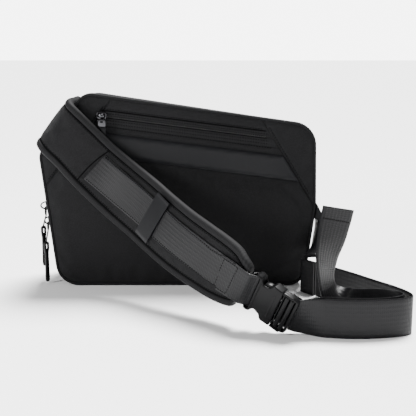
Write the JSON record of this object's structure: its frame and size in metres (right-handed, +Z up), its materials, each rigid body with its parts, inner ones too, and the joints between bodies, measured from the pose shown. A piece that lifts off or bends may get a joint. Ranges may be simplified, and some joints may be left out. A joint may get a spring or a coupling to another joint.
{
  "type": "sling bag",
  "caption": "Slim sling bag with a cut corner, a padded strap folded over it, a side-release buckle and a webbing strap that turns on the floor to a loose tail.",
  "frame": {"origin": "middle of the body's flat bottom, on the surface that the bag stands on", "axes": "+Z up, +Y from the front panels to the back panel, +X along the body's width towards the webbing strap"},
  "size_m": [0.3925, 0.2634, 0.2221],
  "materials": {
    "shell_fabric": "matte plain-weave polyester",
    "trim_fabric": "ribbed binding and zip tape",
    "satin_fabric": "smooth coated fabric, satin",
    "webbing": "ribbed nylon webbing with a soft sheen",
    "lining_fabric": "plain lining and foam",
    "zip_teeth": "nylon coil",
    "buckle_plastic": "moulded acetal, fine grain",
    "pull_plastic": "moulded soft plastic",
    "slider_metal": "gunmetal, worn bright on edges"
  },
  "bodies": {
    "bag": {"back_panel": "shell_fabric", "gusset_front": "shell_fabric", "gusset_rear": "shell_fabric", "gusset_bottom_strip": "shell_fabric", "front_corner_left": "shell_fabric", "front_corner_right": "shell_fabric", "front_top_band": "shell_fabric", "front_mid_strip": "shell_fabric", "front_main_panel": "shell_fabric", "pad_shoulder_panel": "shell_fabric", "pad_lower_panel": "shell_fabric", "pad_anchor": "shell_fabric", "piping_front": "trim_fabric", "piping_back": "trim_fabric", "main_zip_tape_front": "trim_fabric", "main_zip_tape_rear": "trim_fabric", "pocket_zip_tape_upper": "trim_fabric", "pocket_zip_tape_lower": "trim_fabric", "pad_backing": "trim_fabric", "pad_binding_upper": "trim_fabric", "pad_binding_lower": "trim_fabric", "satin_band": "satin_fabric", "pad_keeper": "satin_fabric", "pad_web": "webbing", "web_loop": "webbing", "strap_fold": "webbing", "strap_back_run": "webbing", "strap_turn": "webbing", "strap_front_run": "webbing", "tail_run": "webbing", "tail_riser": "webbing", "side_tab": "webbing", "side_web": "webbing", "main_lining": "lining_fabric", "pocket_back": "lining_fabric", "tablet_sleeve": "lining_fabric", "back_foam": "lining_fabric", "pad_foam": "lining_fabric", "main_zip_coil": "zip_teeth", "pocket_zip_coil": "zip_teeth", "buckle_female": "buckle_plastic", "buckle_male": "buckle_plastic", "buckle_guide_tongue": "buckle_plastic"},
    "pocket_slider_body": {"pocket_slider": "slider_metal", "pocket_slider_bridge": "slider_metal"},
    "pocket_pull_body": {"pocket_pull_eye": "slider_metal", "pocket_pull": "slider_metal", "pocket_pull_tab": "trim_fabric"},
    "upper_slider_body": {"upper_slider": "slider_metal", "upper_slider_bridge": "slider_metal"},
    "upper_pull_body": {"upper_pull_ring": "slider_metal", "upper_pull_link": "slider_metal", "upper_pull": "pull_plastic"},
    "lower_slider_body": {"lower_slider": "slider_metal", "lower_slider_bridge": "slider_metal"},
    "lower_pull_body": {"lower_pull_ring": "slider_metal", "lower_pull_link": "slider_metal", "lower_pull": "pull_plastic"},
    "prong_upper_body": {"buckle_prong_upper": "buckle_plastic"},
    "prong_lower_body": {"buckle_prong_lower": "buckle_plastic"}
  },
  "joints": [
    {"name": "pocket_slider_slide", "type": "slide", "parent": "bag", "child": "pocket_slider_body", "axis": [0.9919, 0, -0.127], "range_m": [0, 0.17]},
    {"name": "pocket_pull_swing", "type": "hinge", "parent": "pocket_slider_body", "child": "pocket_pull_body", "pos_m": [-0.08221, -0.0446, 0.19752], "axis": [-0.9919, 0, 0.127], "range_deg": [0, 140]},
    {"name": "upper_slider_slide", "type": "slide", "parent": "bag", "child": "upper_slider_body", "axis": [-0.1161, 0, 0.9932], "range_m": [0, 0.038]},
    {"name": "upper_pull_swing", "type": "hinge", "parent": "upper_slider_body", "child": "upper_pull_body", "pos_m": [-0.15278, -0.022, 0.08852], "axis": [1, 0, 0], "range_deg": [0, 45]},
    {"name": "lower_slider_slide", "type": "slide", "parent": "bag", "child": "lower_slider_body", "axis": [0.1161, 0, -0.9932], "range_m": [0, 0.002]},
    {"name": "lower_pull_swing", "type": "hinge", "parent": "lower_slider_body", "child": "lower_pull_body", "pos_m": [-0.15067, -0.022, 0.07052], "axis": [1, 0, 0], "range_deg": [-45, 45]},
    {"name": "prong_upper_squeeze", "type": "hinge", "parent": "bag", "child": "prong_upper_body", "pos_m": [0.10446, -0.20957, 0.03721], "axis": [-0.5566, -0.8118, -0.1769], "range_deg": [0, 6], "stiffness_Nm_per_rad": 0.3},
    {"name": "prong_lower_squeeze", "type": "hinge", "parent": "bag", "child": "prong_lower_body", "pos_m": [0.09832, -0.2015, 0.01952], "axis": [-0.5566, -0.8118, -0.1769], "range_deg": [-6, 0], "stiffness_Nm_per_rad": 0.3}
  ],
  "couplings": [
    {"joint": "prong_lower_squeeze", "follows": "prong_upper_squeeze", "ratio": -1}
  ]
}
